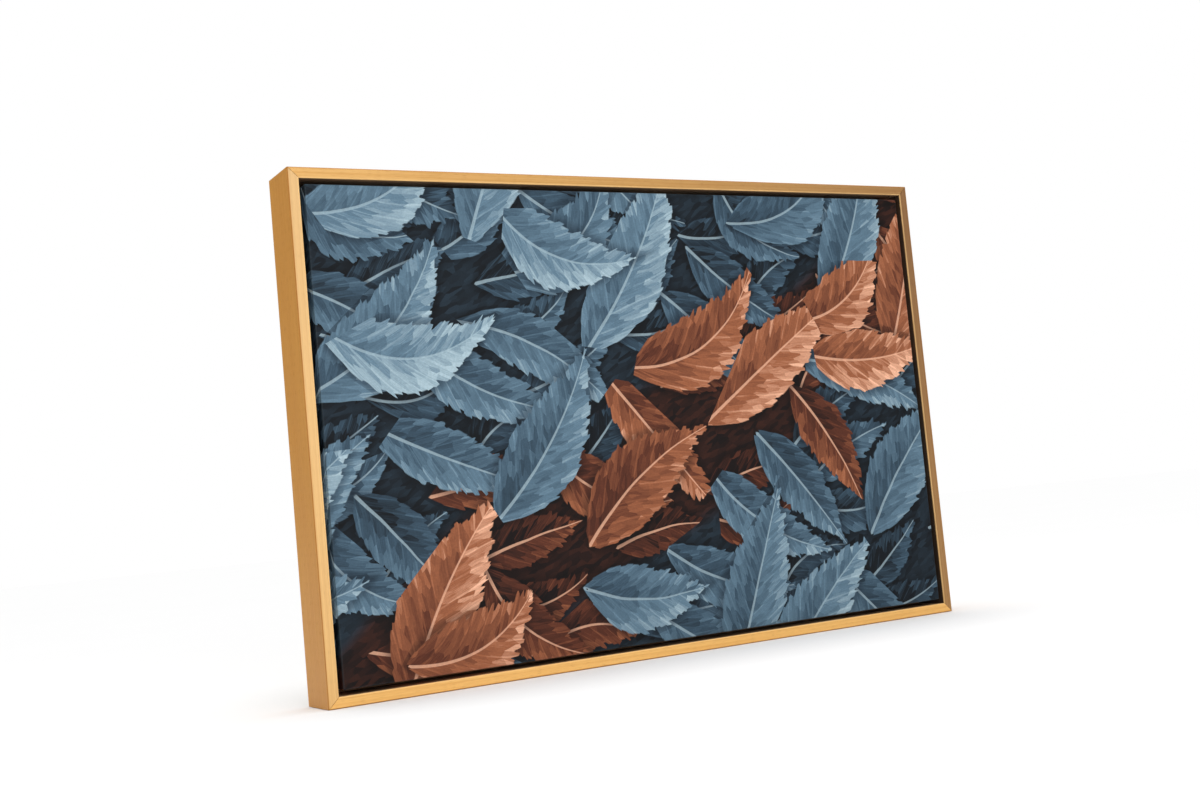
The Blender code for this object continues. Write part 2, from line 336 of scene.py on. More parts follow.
class Finish(Graph):
    """A new material and its nodes."""

    def __init__(self, name):
        self.material = bpy.data.materials.new(name)
        self.material.use_nodes = True
        super().__init__(self.material.node_tree)

    def spot(self):
        """Object coordinates."""
        return self.node("ShaderNodeTexCoord").outputs["Object"]

    def smooth(self, given, low, high):
        """0 below low, 1 above high and soft between; the other way round if low is above high."""
        inputs = {"Value": given, "From Min": low, "From Max": high}
        if low > high:
            inputs = {"Value": given, "From Min": high, "From Max": low, "To Min": 1.0, "To Max": 0.0}
        return self.value(self.node("ShaderNodeMapRange", inputs, interpolation_type="SMOOTHSTEP"))

    def noise(self, vector, scale=1.0, detail=2.0, roughness=0.5, dimensions="3D"):
        inputs = {"Vector": vector, "Scale": scale, "Detail": detail, "Roughness": roughness}
        return self.value(self.node("ShaderNodeTexNoise", inputs, noise_dimensions=dimensions))

    def cells(self, vector, randomness=1.0):
        """Voronoi cells of size one in the plane."""
        inputs = {"Vector": vector, "Scale": 1.0, "Randomness": randomness}
        return self.node("ShaderNodeTexVoronoi", inputs, voronoi_dimensions="2D")

    def ramp(self, factor, places, tints):
        return self.node("ShaderNodeValToRGB", {"Fac": factor}, stops=tuple(zip(places, tints)))

    def mix(self, factor, first, second, blend="MIX"):
        inputs = {"Factor_Float": factor, "A_Color": first, "B_Color": second}
        made = self.node("ShaderNodeMix", inputs, data_type="RGBA", blend_type=blend)
        return next(s for s in made.outputs if s.identifier == "Result_Color")

    def coat(self, surface, roughness, relief=None, **fixed):
        """Feeds the shader: relief is a height, its depth and its strength, fixed are plain numbers."""
        shader = self.tree.nodes["Principled BSDF"]
        self.feed(shader.inputs["Base Color"], surface)
        self.feed(shader.inputs["Roughness"], roughness)
        if relief:
            inputs = dict(zip(("Height", "Distance", "Strength"), relief))
            self.feed(shader.inputs["Normal"], self.node("ShaderNodeBump", inputs))
        for name, number in fixed.items():
            shader.inputs[name.replace("_", " ")].default_value = number
        return self.material


class PieceTree(Graph):
    """A Geometry Nodes tree whose named inputs are the given sizes, counts and material."""

    def __init__(self, name, values):
        tree = bpy.data.node_groups.new(name, "GeometryNodeTree")
        tree.is_modifier = True
        super().__init__(tree)
        for way in ("OUTPUT", "INPUT"):
            tree.interface.new_socket(name="Geometry", in_out=way, socket_type="NodeSocketGeometry")
        kinds = {float: "NodeSocketFloat", int: "NodeSocketInt", bpy.types.Material: "NodeSocketMaterial"}
        for name, default in values.items():
            kind = kinds[type(default)]
            socket = tree.interface.new_socket(name=name, in_out="INPUT", socket_type=kind)
            if kind == "NodeSocketFloat":
                socket.subtype = "DISTANCE"
            socket.default_value = default
        self.given = self.node("NodeGroupInput").outputs

    def sizes(self, *names):
        return [Value(self, self.given[name]) for name in names]

    def index(self):
        return self.value(self.node("GeometryNodeInputIndex"))

    def wire(self, count, places):
        """A path through a few points, whose places are worked out from their index."""
        line = self.node("GeometryNodeMeshLine", {"Count": count})
        line = self.node("GeometryNodeSetPosition", {"Geometry": line, "Position": places})
        return self.node("GeometryNodeMeshToCurve", {"Mesh": line})

    def rows(self):
        """The edges that the tree is given, as paths."""
        return self.node("GeometryNodeMeshToCurve", {"Mesh": self.given["Geometry"]})

    def ring(self, radius, sides):
        inputs = {"Resolution": sides, "Radius": radius}
        return self.node("GeometryNodeCurvePrimitiveCircle", inputs, mode="RADIUS")

    def strip(self, width, height):
        inputs = {"Width": width, "Height": height}
        return self.node("GeometryNodeCurvePrimitiveQuadrilateral", inputs, mode="RECTANGLE")

    def sweep(self, path, section):
        """A closed solid along a path."""
        inputs = {"Curve": path, "Profile Curve": section, "Fill Caps": True}
        return self.node("GeometryNodeCurveToMesh", inputs)

    def join(self, *pieces):
        made = self.node("GeometryNodeJoinGeometry")
        for piece in pieces:
            self.feed(made.inputs[0], piece)
        return made

    def shift(self, piece, move=(0.0, 0.0, 0.0), turn=(0.0, 0.0, 0.0)):
        inputs = {"Geometry": piece, "Translation": move, "Rotation": Euler(turn)}
        return self.node("GeometryNodeTransform", inputs)

    def chance(self, low, high):
        """A random number for each point."""
        inputs = {"Min_001": low, "Max_001": high, "Seed": self.given["Seed"]}
        return self.node("FunctionNodeRandomValue", inputs, data_type="FLOAT").outputs[1]

    def chance_turn(self, low, high):
        """A random turn for each point."""
        inputs = {"Min": low, "Max": high, "Seed": self.given["Seed"]}
        made = self.node("FunctionNodeRandomValue", inputs, data_type="FLOAT_VECTOR")
        return self.node("FunctionNodeEulerToRotation", {"Euler": made})

    def facing(self, way):
        """The turn about Y that brings X round to a way."""
        return self.node("FunctionNodeAlignRotationToVector", {"Vector": way}, axis="X", pivot_axis="Y")

    def turned_more(self, turn, more):
        inputs = {"Rotation": turn, "Rotate By": more}
        return self.node("FunctionNodeRotateRotation", inputs, rotation_space="LOCAL")

    def plant(self, points, piece, turn, **more):
        """Puts a piece on each point and ends the tree with Realize Instances and Set Material."""
        inputs = {"Points": points, "Instance": piece, "Rotation": turn, **more}
        placed = self.node("GeometryNodeInstanceOnPoints", inputs)
        real = self.node("GeometryNodeRealizeInstances", {"Geometry": placed})
        inputs = {"Geometry": real, "Material": self.given["Material"]}
        self.node("NodeGroupOutput", {"Geometry": self.node("GeometryNodeSetMaterial", inputs)})
        return self.tree


# Wood

def wood_figure(graph, along, wide, deep, settings, offset, waviness=1.0):
    """Growth rings, fibre streaks and open pores of a board; each is from 0 to 1."""
    bend = graph.noise(graph.vector(along * 3.1 + offset, wide * 11.0, deep * 11.0), detail=1.0) - 0.5
    twist = graph.noise(graph.vector(along * 0.9, offset * 2.0, 5.0), detail=0.0) - 0.5
    slope = wide * 0.62 + deep * 0.78 + bend * (0.0042 * waviness) + twist * (0.016 * waviness)
    turn = slope * (1.0 / settings.ring_pitch) + offset
    saw = graph.math("FRACT", turn)
    rings = graph.smooth(saw, 0.15, 0.9) * graph.smooth(saw, 1.0, 0.93)
    number = graph.math("FLOOR", turn)
    uneven = graph.noise(graph.vector(number * 0.37, along * 0.8, offset), detail=0.0)
    rings = rings * (uneven * 1.1 + 0.15)
    fine = 1.0 / settings.fibre_width
    streak_at = graph.vector(along * 9.0 + offset, wide * fine, deep * fine)
    fibres = graph.smooth(graph.noise(streak_at, roughness=0.6), 0.30, 0.70)
    pore_at = graph.vector(along * 130.0 + offset, wide * (fine * 3.4), deep * (fine * 3.4))
    pores = graph.smooth(graph.noise(pore_at, detail=0.0), 0.64, 0.76)
    return rings, fibres, pores


def board_axes(side, x, z):
    """Distance along a side of the frame, and in from its outer face."""
    if side == "bottom":
        return x, z
    if side == "top":
        return x, 2 * MIDDLE_Z - z
    if side == "left":
        return z, x + HALF_WIDTH
    return z, HALF_WIDTH - x


# Painted shade on each rail's front, at its left or lower end and at its other end; below zero is painted
# light
RAIL_PAINTED_LIGHT_AND_SHADE = {"bottom": (0.0, 0.0), "top": (0.24, 0.86), "left": (-0.36, -0.60), "right": (0.80, 1.04)}
# Painted light and shade on each rail's gap paint: above one it is lightened, below one darkened
GAP_PAINTED_LIGHT_AND_SHADE = {"bottom": 3.6, "top": 1.8, "left": 1.4, "right": 0.45}
# Where each part of the finish fades out or in, as distances from the edge or face that it belongs to
OUTER_SIDE = (0.0009, 0.0003)
BURNISHED = (0.0011, 0.0004)
WORN_AND_HIGHLIGHT = (0.0014, 0.0005)
BACK_FACE = (0.0005, 0.0002)
BARE_BACK = (0.0030, 0.0045)
GAP_WALL = (0.0004, 0.0002)
PAINT_START = (0.0011, 0.0014)
PAINT_END = (0.0010, 0.0006)


def painted_rail_light_and_shade(side, along):
    """How much painted shade, or below zero painted light, the front gets at a place along a rail."""
    first, last = RAIL_PAINTED_LIGHT_AND_SHADE[side]
    low, half = (RAIL_LOW.z, HALF_HEIGHT) if side in UPRIGHT_SIDES else (-HALF_WIDTH, HALF_WIDTH)
    return first + (along - low) * ((last - first) / (2 * half))


def edge_rubbing_and_highlight(graph, surface, along, inward, depth, settings):
    """Stain burnished dark at the outer edge; a pale line at the face's inner edge, partly rubbed wear and
    partly a painted highlight.
    """
    rubbed = graph.noise(graph.vector(along * 42.0, inward * 300.0, depth * 300.0), detail=3.0)
    to_inner = inward - FACE_WIDTH
    off_outer = (inward * inward + depth * depth) ** 0.5
    off_inner = (to_inner * to_inner + depth * depth) ** 0.5
    burnished = graph.smooth(off_outer, *BURNISHED) * (0.45 + rubbed * 0.4)
    # The pale inner edge is partly wear and partly a painted highlight
    wear_and_highlight = graph.smooth(off_inner, *WORN_AND_HIGHLIGHT) * (0.25 + rubbed * 0.5)
    surface = graph.mix(burnished, surface, settings.honey_pore)
    return graph.mix(wear_and_highlight, surface, settings.honey_wear_and_highlight), burnished


def moulding_wood(side, settings):
    """Gold-stained, lacquered wood outside, dull paint in the float gap and bare wood behind."""
    graph = Finish(f"honey_wood_{side}")
    x, y, z = graph.parts(graph.spot())
    along, inward = board_axes(side, x, z)
    depth = y - FRONT_Y
    offset = 3.7 * SIDES.index(side) + 1.3
    rings, fibres, pores = wood_figure(graph, along, inward, depth, settings, offset)

    cloudy = graph.noise(graph.vector(along * 7.0 + offset, inward * 30.0, depth * 30.0))
    tone = (rings * 0.48 + fibres * 0.42 + (cloudy - 0.5) * 0.55).clamp()
    surface = graph.mix(tone, settings.honey_light, settings.honey_dark)
    surface = graph.mix(pores * 0.32, surface, settings.honey_pore)
    outer = graph.smooth(inward, *OUTER_SIDE)
    # Painted shade along each rail's front, and painted light on the left rail
    more = painted_rail_light_and_shade(side, along) * (1 - outer)
    surface = graph.mix(more.clamp(), surface, settings.honey_painted_shade, "MULTIPLY")
    surface = graph.mix((more * -1.0).clamp(), surface, settings.honey_painted_light)
    # Painted shade: the outer sides are darkened
    surface = graph.mix(outer, surface, settings.honey_side_painted_shade, "MULTIPLY")
    surface, burnished = edge_rubbing_and_highlight(graph, surface, along, inward, depth, settings)

    ragged = (graph.noise(graph.vector(along * 60.0, inward * 200.0, 2.0), detail=3.0) - 0.5) * 0.004
    bare = graph.smooth(BACK_Y - y, *BACK_FACE) * graph.smooth(inward + ragged, *BARE_BACK)
    bare_tone = (rings * 0.6 + fibres * 0.4).clamp()
    surface = graph.mix(bare, surface, graph.mix(bare_tone, settings.raw_light, settings.raw_dark))

    edge = (graph.noise(graph.vector(along * 120.0, 4.0, offset)) - 0.5) * 0.0006
    inside = graph.smooth(FACE_WIDTH - inward, *GAP_WALL)
    below = graph.smooth(depth + edge, *PAINT_START)
    ahead = graph.smooth(y - LEDGE_Y, *PAINT_END)
    painted = inside * below * ahead
    brushed = graph.noise(graph.vector(along * 14.0, inward * 500.0, depth * 500.0))
    paint = graph.mix(brushed * 0.5, settings.gap_paint, settings.gap_dark)
    # Painted light and shade: each gap wall's paint is lightened or darkened
    paint = graph.mix(1.0, paint, (GAP_PAINTED_LIGHT_AND_SHADE[side],) * 3, "MULTIPLY")
    surface = graph.mix(painted, surface, paint)

    dull = graph.math("MAXIMUM", bare, painted)
    lacquer = settings.satin + (fibres - 0.5) * 0.10 + pores * 0.15 - burnished * 0.06
    relief = (fibres * 0.35 - pores * 0.6 - rings * 0.2, 0.00010, 0.4)
    return graph.coat(surface, lacquer * (1 - dull) + dull * 0.78, relief, Specular_IOR_Level=0.28)


def bar_pine(side, settings):
    """Planed pine with wide rings, a few knots and faint planer marks."""
    graph = Finish(f"planed_pine_{side}")
    x, y, z = graph.parts(graph.spot())
    along, inward = board_axes(side, x, z)
    offset = 5.3 * SIDES.index(side) + 0.7
    rings, fibres, _ = wood_figure(graph, along, inward, y, settings, offset, waviness=2.2)
    tone = (rings * 0.8 + fibres * 0.25).clamp()
    surface = graph.mix(tone, settings.pine_light, settings.pine_dark)
    knots = graph.cells(graph.vector(along * 6.5 + offset, (y + inward * 0.6) * 21.0))
    reach = graph.value(knots, "Distance") + (fibres - 0.5) * 0.02
    knot = graph.smooth(reach, 0.060, 0.035)
    surface = graph.mix(graph.smooth(reach, 0.20, 0.05) * 0.5, surface, settings.pine_dark)
    surface = graph.mix(knot * 0.75, surface, settings.pine_knot)
    grubby = graph.noise(graph.vector(x * 9.0, y * 9.0, z * 9.0 + offset), detail=3.0)
    surface = graph.mix(graph.smooth(grubby, 0.5, 0.8) * 0.2, surface, settings.pine_grime)
    planer = graph.math("SINE", along * (2 * math.pi / settings.planer_pitch))
    relief = (fibres * 0.6 - rings * 0.4 + planer * 0.15, 0.00015, 0.6)
    return graph.coat(surface, 0.66 + fibres * 0.12 - knot * 0.2, relief)


# Cloth

def flat_cloth(graph):
    """The place on the cloth before it was stretched, from the picture's middle."""
    return graph.node("ShaderNodeUVMap", uv_map="cloth")


def weave(graph, flat, pitch):
    """Height of a plain weave, with yarns that vary a little in width and place."""
    u, v, _ = graph.parts(flat)
    wander = graph.noise(flat, 60.0, detail=1.0) - 0.5
    turn = 2 * math.pi / pitch
    warp, weft = (graph.math("SINE", way * turn + wander * 1.6) for way in (u, v))
    over_u, over_v = (graph.math("SINE", way * (turn / 2) + wander * 0.8) for way in (u, v))
    slub_u = graph.noise(graph.vector(u * 900.0, v * 70.0), detail=1.0)
    slub_v = graph.noise(graph.vector(u * 70.0, v * 900.0), detail=1.0)
    return (warp + weft) * 0.22 + abs(over_u * over_v) * 0.35 + (slub_u + slub_v) * 0.25


def raw_cotton(settings):
    """The cloth's unprinted side and cut edges."""
    graph = Finish("raw_cotton")
    flat = flat_cloth(graph)
    u, v, _ = graph.parts(flat)
    height = weave(graph, flat, settings.yarn_pitch)
    mottle = graph.noise(flat, 14.0, detail=3.0)
    # Painted shade in the hollows of the weave
    surface = graph.mix(graph.smooth(height, 0.0, 0.9), settings.raw_painted_shade, settings.raw)
    surface = graph.mix(graph.smooth(mottle, 0.45, 0.75) * 0.25, surface, settings.raw_dull)
    husk = graph.cells(graph.vector(u * 105.0 + mottle * 3.0, v * 48.0))
    chosen, strength, _ = graph.parts(husk.outputs["Color"])
    fleck = graph.smooth(graph.value(husk, "Distance"), 0.055, 0.02) * (chosen > 0.88)
    surface = graph.mix(fleck * strength * 0.8, surface, settings.husk)
    return graph.coat(surface, 0.9, (height, 0.00020, 0.6), Sheen_Weight=0.15)


def cotton_thread(settings):
    """Frayed threads of the same cotton, mottled by their twist."""
    graph = Finish("cotton_thread")
    twist = graph.noise(graph.spot(), 1900.0, detail=1.0)
    # Painted shade in the hollows of the twist
    surface = graph.mix(graph.smooth(twist, 0.3, 0.7), settings.thread_painted_shade, settings.raw)
    return graph.coat(surface, 0.80 + twist * 0.15, (twist, 0.00004, 0.6), Sheen_Weight=0.2)


class LeafLayer(NamedTuple):
    """One layer of printed leaves: a lattice turned by an angle in degrees, with a leaf in each cell."""

    angle: float
    pitch_along: float
    pitch_across: float
    spread: float
    cover: float
    light: float
    seed: float


LEAF_LAYERS = (
    LeafLayer(angle=24, pitch_along=0.110, pitch_across=0.050, spread=50, cover=0.95, light=-0.22, seed=1.7),
    LeafLayer(angle=-38, pitch_along=0.150, pitch_across=0.062, spread=46, cover=0.80, light=-0.05, seed=5.1),
    LeafLayer(angle=52, pitch_along=0.185, pitch_across=0.082, spread=44, cover=0.66, light=0.10, seed=9.58),
    LeafLayer(angle=8, pitch_along=0.150, pitch_across=0.074, spread=60, cover=0.42, light=0.22, seed=12.45),
)
VEIN_ANGLE = math.radians(36)
TONE_PLACES = (0.0, 0.34, 0.66, 1.0)
WARM_SLOPE = 0.72
WARM_WIDTH = 0.085
WARM_FROM = 0.52
# Where the fold line of wear and painted highlight fades, and where the wrapped sides' painted light starts,
# as distances from the edge
FOLD_WEAR_AND_HIGHLIGHT = (0.0015, 0.0003)
WRAP_START = (0.0004, 0.0020)


def warm_zone(graph, flat):
    """Where the print turns from blue to brown: a band that sweeps up to the right."""
    u, v, _ = graph.parts(flat)
    sweep = v - u * WARM_SLOPE + graph.math("SINE", u * 8.5) * 0.035 + 0.045
    return graph.math("EXPONENT", sweep * sweep * (-1.0 / WARM_WIDTH ** 2))


def turn_flat(graph, vector, turn):
    """A vector turned about Z."""
    inputs = {"Vector": vector, "Center": (0.0, 0.0, 0.0), "Angle": turn}
    return graph.node("ShaderNodeVectorRotate", inputs, rotation_type="Z_AXIS")


def leaf_here(graph, flat, layer):
    """The leaf whose lattice cell a place lies in: its three random numbers, the way from its middle,
    turned with the lattice, and that middle on the cloth."""
    lean = math.radians(layer.angle)
    size = (layer.pitch_along, layer.pitch_across, 0.0)
    per_cell = (1 / layer.pitch_along, 1 / layer.pitch_across, 0.0)
    lattice = graph.vector_math("MULTIPLY", turn_flat(graph, flat, -lean), per_cell)
    lattice = graph.vector_math("ADD", lattice, (layer.seed, layer.seed * 1.7, 0.0))
    cell = graph.cells(lattice, randomness=0.42)
    offset = graph.vector_math("SUBTRACT", lattice, cell.outputs["Position"])
    offset = graph.vector_math("MULTIPLY", offset, size)
    middle = graph.vector_math("SUBTRACT", flat, turn_flat(graph, offset, lean))
    return graph.parts(cell.outputs["Color"]), offset, middle


def vein_strokes(graph, along, side, size, hue, settings):
    """Brush strokes along the side veins: the strokes' own coordinates, and for the stroke at a place its
    middle along and across the leaf, and its random tone."""
    cos, sin = math.cos(VEIN_ANGLE), math.sin(VEIN_ANGLE)
    shift_x, shift_y = hue * 40.0, size * 60.0
    stroke_at = graph.vector(
        (along * sin - side * cos) * (1 / settings.stroke_width) + shift_x,
        (along * cos + side * sin) * (1 / settings.stroke_length) + shift_y,
    )
    stroke = graph.cells(stroke_at)
    stroke_x, stroke_y, _ = graph.parts(stroke.outputs["Position"])
    across_vein = (stroke_x - shift_x) * settings.stroke_width
    down_vein = (stroke_y - shift_y) * settings.stroke_length
    jitter = graph.parts(stroke.outputs["Color"])[0] - 0.5
    return stroke_at, across_vein * sin + down_vein * cos, abs(down_vein * sin - across_vein * cos), jitter


def lay_leaves(graph, flat, under, layer, settings):
    """Paints one layer of leaves over what is under it, in strokes that follow the side veins."""
    (chance, size, hue), offset, middle = leaf_here(graph, flat, layer)
    along, across, _ = graph.parts(turn_flat(graph, offset, (hue - 0.5) * math.radians(layer.spread)))
    half = (size * 0.16 + 0.42) * layer.pitch_along
    across = across + (chance - 0.5) * along * along / half * 0.9
    side = abs(across)
    stroke_at, along_stroke, side_stroke, jitter = vein_strokes(graph, along, side, size, hue, settings)

    def blade(at):
        """Half the leaf's width at a place along it."""
        ratio = at / half
        return (1 - ratio * ratio) * (1 - ratio * 0.38) * (layer.pitch_across * 0.40)

    edge, edge_stroke = blade(along), blade(along_stroke)
    margin = (edge - side) * 0.55 + (edge_stroke - side_stroke) * 0.45
    shown = chance * (1 / layer.cover) < 1.0
    mask = graph.smooth(margin, -0.0003, 0.0005) * shown

    rim = (side_stroke / graph.math("MAXIMUM", edge_stroke, 0.001)).clamp()
    shaded = graph.smooth(across, -0.002, 0.002)
    tone = 0.46 + layer.light + jitter * 0.20 + rim * rim * 0.20 - shaded * 0.17
    bristle_at = graph.vector_math("MULTIPLY", stroke_at, (7.0, 0.9, 0.0))
    bristle = graph.noise(bristle_at, detail=1.0, roughness=0.6, dimensions="2D")
    tone = tone + (along_stroke / half) * 0.13 + (size - 0.5) * 0.26 + (bristle - 0.5) * 0.22
    vein_pitch = layer.pitch_across * 0.17
    across_veins = along * math.sin(VEIN_ANGLE) - side * math.cos(VEIN_ANGLE)
    vein = abs(graph.math("FRACT", across_veins * (1 / vein_pitch)) - 0.5)
    tone = (tone + graph.smooth(vein, 0.09, 0.02) * 0.10).clamp()

    warmth = warm_zone(graph, middle) + (hue - 0.5) * 0.7 > WARM_FROM
    cool = graph.ramp(tone, TONE_PLACES, (settings.night, settings.slate, settings.steel, settings.mist))
    warm = graph.ramp(tone, TONE_PLACES, (settings.ember, settings.rust, settings.copper, settings.peach))
    painted = graph.mix(warmth, cool, warm)
    midrib = graph.smooth(side - (1 - along / half) * 0.0006, 0.0006, 0.0001)
    painted = graph.mix(midrib * 0.55, painted, graph.mix(warmth, settings.mist, settings.peach))
    cast = graph.smooth(edge - side, -0.011, 0.001) * shown
    under = graph.mix(cast * 0.70, under, (0.22, 0.23, 0.26), "MULTIPLY")
    return graph.mix(mask, under, painted)


def printed_cotton(cloth, design):
    """The primed cloth with a painterly print of overlapping leaves, in slate blues and rust."""
    graph = Finish("printed_cotton")
    flat = flat_cloth(graph)
    u, v, _ = graph.parts(flat)
    strokes = graph.cells(graph.vector((u + v * 0.5) * 95.0, (v - u * 0.5) * 260.0))
    ground_tone = graph.parts(strokes.outputs["Color"])[0] * 0.18
    surface = graph.mix(
        graph.smooth(warm_zone(graph, flat), 0.4, 0.6),
        graph.ramp(ground_tone, (0.0, 0.6, 1.0), (design.night, design.slate, design.steel)),
        graph.ramp(ground_tone, (0.0, 0.6, 1.0), (design.ember, design.rust, design.copper)),
    )
    for layer in LEAF_LAYERS:
        surface = lay_leaves(graph, flat, surface, layer, design)
    bristle = graph.noise(flat, 520.0, roughness=0.7)
    surface = graph.mix(graph.smooth(bristle, 0.3, 0.8) * 0.3, surface, (1.7,) * 3, "MULTIPLY")

    past_x, past_z = abs(u) - CANVAS_HALF_WIDTH, abs(v) - CANVAS_HALF_HEIGHT
    # Partly wear and partly a painted highlight: the print is lightened along the front fold
    fold = graph.smooth(graph.math("MINIMUM", abs(past_x), abs(past_z)), *FOLD_WEAR_AND_HIGHLIGHT)
    surface = graph.mix(fold * bristle * 0.08, surface, design.mist)
    past_edge = graph.math("MAXIMUM", past_x, past_z)
    # Painted light: the wrapped sides are made three times paler, so that they show in the shade of the gap
    surface = graph.mix(graph.smooth(past_edge, *WRAP_START), surface, (3.0,) * 3, "MULTIPLY")
    surface = graph.mix(past_edge > CANVAS_DEPTH + cloth.bleed, surface, cloth.primer)
    height = weave(graph, flat, cloth.yarn_pitch)
    # Painted shade in the hollows of the weave
    surface = graph.mix(graph.smooth(height, 0.25, 0.0) * 0.35, surface, (0.55,) * 3, "MULTIPLY")
    return graph.coat(surface, 0.62 + bristle * 0.14, (height, 0.00012, 0.5), Specular_IOR_Level=0.18)


# Metal, rubber and floor

def zinc_steel(name, tint):
    """Plated steel, clouded and finely scratched."""
    graph = Finish(name)
    spot = graph.spot()
    x, y, z = graph.parts(spot)
    cloud = graph.noise(spot, 420.0, detail=3.0, roughness=0.65)
    scratch = graph.noise(graph.vector(x * 300.0, y * 4000.0, z * 4000.0), detail=1.0)
    surface = graph.mix(graph.smooth(cloud, 0.35, 0.75) * 0.6, tint, tuple(0.66 * part for part in tint))
    roughness = 0.30 + cloud * 0.16 + graph.smooth(scratch, 0.6, 0.75) * 0.12
    return graph.coat(surface, roughness, (cloud + scratch * 0.4, 0.00003, 0.5), Metallic=1.0)


def bumper_rubber(settings):
    """Dark moulded rubber with dust in its skin."""
    graph = Finish("bumper_rubber")
    spot = graph.spot()
    skin = graph.noise(spot, 2600.0)
    dust = graph.noise(spot, 500.0, detail=3.0)
    surface = graph.mix(graph.smooth(dust, 0.5, 0.8) * 0.5, settings.rubber, settings.rubber_dust)
    return graph.coat(surface, 0.62 + dust * 0.2, (skin, 0.00005, 0.6))


def studio_floor(tint):
    """Plain matt floor with the faintest mottle."""
    graph = Finish("studio_floor")
    mottle = graph.noise(graph.spot(), 2.0, detail=3.0)
    surface = graph.mix(mottle, tuple(tint), tuple(0.985 * part for part in tint))
    return graph.coat(surface, 0.75 + mottle * 0.05, Specular_IOR_Level=0.0)


# Meshes and objects

def link_mesh(name, mesh, *materials):
    """A new object at the origin with a mesh that already holds its place."""
    made = bpy.data.objects.new(name, mesh)
    bpy.context.scene.collection.objects.link(made)
    for material in materials:
        mesh.materials.append(material)
    return made


def smooth_shaded(mesh, sharp):
    """Shades a mesh smooth but for edges sharper than the angle, in degrees."""
    mesh.shade_smooth()
    mesh.set_sharp_from_angle(angle=math.radians(sharp))
    return mesh


def mesh_of(name, shape, sharp=35.0):
    """A finished mesh from a bmesh."""
    mesh = bpy.data.meshes.new(name)
    shape.to_mesh(mesh)
    shape.free()
    return smooth_shaded(mesh, sharp)


def hold(made, slot, *nodes):
    """Rides a new piece on the part and hides the packed nodes that it stands for; the slot is not used."""
    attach(made, BODY)
    if nodes:
        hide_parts(*nodes)
    return made


def refinish(name, material):
    """Gives a packed node a better material."""
    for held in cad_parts[name].material_slots:
        held.material = material


def middles(nodes):
    """Each packed node's middle across the picture, at no depth."""
    places = []
    for name in nodes:
        low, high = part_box(name)
        places.append(((low.x + high.x) / 2, 0.0, (low.z + high.z) / 2))
    return places


def quarter_turn(steps):
    """Angles from 0 to a right angle in equal steps."""
    return [step / steps * math.pi / 2 for step in range(steps + 1)]


def bridge(shape, first, second):
    """Faces between two closed loops of as many vertices."""
    made = []
    for i in range(len(first)):
        j = (i + 1) % len(first)
        made.append(shape.faces.new((first[i], first[j], second[j], second[i])))
    return made


def turned_mesh(name, profile, places, sides=48):
    """Solids turned about Y at each place: profile is (radius, distance), its ends closed by small caps."""
    shape = bmesh.new()
    for place in places:
        loops = []
        for radius, distance in profile:
            loop = []
            for number in range(sides):
                turn = 2 * math.pi * number / sides
                point = Vector((radius * math.cos(turn), distance, radius * math.sin(turn)))
                loop.append(shape.verts.new(Vector(place) + point))
            loops.append(loop)
        for first, second in zip(loops, loops[1:]):
            bridge(shape, first, second)
        shape.faces.new(loops[0])
        shape.faces.new(loops[-1])
    bmesh.ops.recalc_face_normals(shape, faces=shape.faces)
    return mesh_of(name, shape, 40.0)


def grow(name, points, edges, build, values, sharp=35.0):
    """Builds a tree, runs it once on loose points and edges, and keeps the result as a plain mesh."""
    start = bpy.data.meshes.new(name + "_points")
    start.from_pydata(points, edges, [])
    made = link_mesh(name, start)
    modifier = made.modifiers.new("grow", "NODES")
    modifier.node_group = build(values)
    for item in modifier.node_group.interface.items_tree:
        if item.in_out == "INPUT" and item.name in values:
            modifier[item.identifier] = values[item.name]
    graph = bpy.context.evaluated_depsgraph_get()
    mesh = bpy.data.meshes.new_from_object(made.evaluated_get(graph), depsgraph=graph)
    made.modifiers.remove(modifier)
    made.data = smooth_shaded(mesh, sharp)
    mesh.name = name
    return made


def side_rows(inset, clear, y):
    """Four loose edges at one inset from the canvas's sides, end to end and clear of the corners."""
    half_x, half_z = CANVAS_HALF_WIDTH - inset, CANVAS_HALF_HEIGHT - inset
    points = []
    for number, (x, z) in enumerate(CORNERS):
        next_x, next_z = CORNERS[(number + 1) % 4]
        in_x, in_z = (next_x - x) / 2 * clear, (next_z - z) / 2 * clear
        points.append((x * half_x + in_x, y, MIDDLE_Z + z * half_z + in_z))
        points.append((next_x * half_x - in_x, y, MIDDLE_Z + next_z * half_z - in_z))
    return points, [(number, number + 1) for number in range(0, len(points), 2)]


# Trees for the fixings and threads

THREAD_SWAYS = (-0.45, 0.10, 0.50)


def thread_tree(values):
    """Short frayed threads along the rows, lying inwards from them and lifting a little."""
    tree = PieceTree("loose_threads", values)
    long, radius = tree.sizes("Length", "Radius")
    section = tree.ring(radius, 4)
    threads = []
    for sway in THREAD_SWAYS:
        bend = {
            "Resolution": 6,
            "Start": (0.0, 0.0, 0.0),
            "Middle": tree.vector(long * sway, long * 0.10, long * 0.55),
            "End": tree.vector(long * (sway * -0.5), long * 0.02, long),
        }
        thread = tree.sweep(tree.node("GeometryNodeCurveQuadraticBezier", bend), section)
        threads.append(tree.node("GeometryNodeGeometryToInstance", {"Geometry": thread}))
    inputs = {"Curve": tree.rows(), "Count": tree.given["Count"]}
    spots = tree.node("GeometryNodeCurveToPoints", inputs, mode="COUNT")
    tangent = spots.outputs["Tangent"]
    inputs = {"Vector": tangent, "Scale": tree.chance(-0.006, 0.006)}
    slide = tree.node("ShaderNodeVectorMath", inputs, operation="SCALE")
    points = tree.node("GeometryNodeSetPosition", {"Geometry": spots, "Offset": slide})
    spread = tree.chance_turn((-0.20, -1.1, 0.0), (0.0, 1.1, 0.0))
    turn = tree.turned_more(tree.facing(tangent), spread)
    more = {"Pick Instance": True, "Scale": tree.chance(0.35, 1.25)}
    return tree.plant(points, tree.join(*threads), turn, **more)


